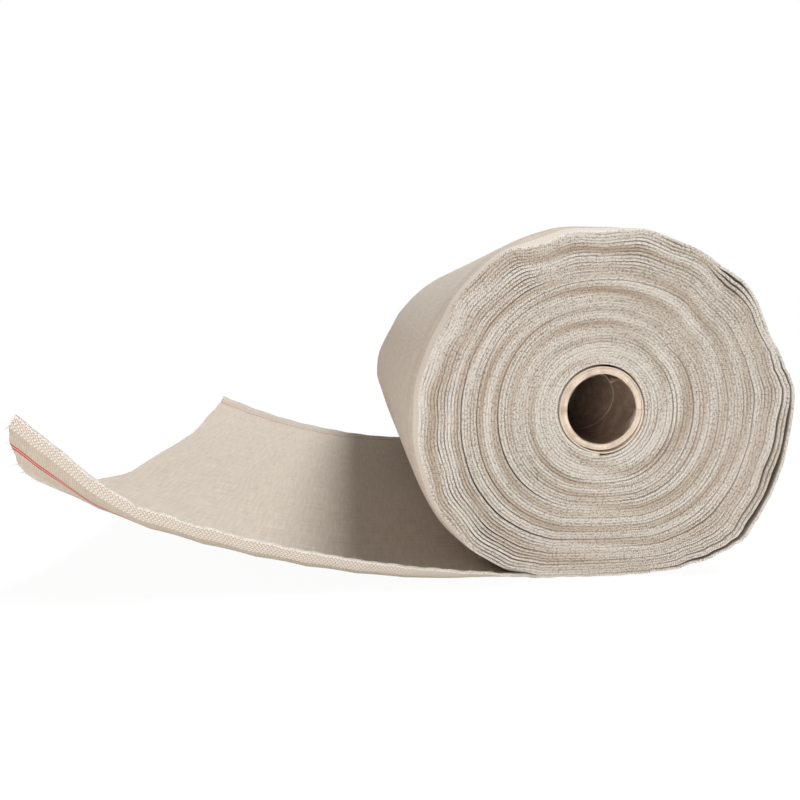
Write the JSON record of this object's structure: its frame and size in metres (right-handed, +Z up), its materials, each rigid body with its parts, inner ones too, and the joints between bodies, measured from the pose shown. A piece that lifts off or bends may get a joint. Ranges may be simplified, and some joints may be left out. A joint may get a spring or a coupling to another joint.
{
  "type": "baker's couche cloth roll",
  "caption": "Roll of heavy natural linen proving cloth on a cardboard core, partly unrolled, with its cut end lying free and curled at the corner.",
  "frame": {"origin": "on the table, straight below the core's axis, at the middle of the cloth's width", "axes": "+Z up, +Y along the core away from the near end, -X towards the laid free end"},
  "size_m": [0.5526, 0.6213, 0.2557],
  "materials": {
    "wound_linen": "tightly wound natural linen, selvedges outwards",
    "loose_linen": "coarse natural linen, plain weave",
    "laid_linen": "coarse natural linen, plain weave, frayed cut end",
    "core_card": "raw card, cut edge",
    "core_skin": "smooth brown paper"
  },
  "bodies": {
    "wound_cloth": {"cloth_first_turns": "wound_linen", "cloth_inner_turns": "wound_linen", "cloth_middle_turns": "wound_linen", "cloth_outer_turns": "wound_linen", "cloth_loose_turns": "loose_linen", "cloth_flat_run": "laid_linen"},
    "core": {"core_wall": "core_card", "core_inner_ply": "core_skin", "core_outer_ply": "core_skin"},
    "free_end": {"cloth_free_end": "laid_linen"}
  },
  "joints": [
    {"name": "core_slide", "type": "slide", "parent": "wound_cloth", "child": "core", "axis": [0, 1, 0], "range_m": [0, 0.62]},
    {"name": "free_end_lift", "type": "hinge", "parent": "wound_cloth", "child": "free_end", "pos_m": [-0.1, 0, 0.0008], "axis": [0, 1, 0], "range_deg": [0, 45]}
  ]
}
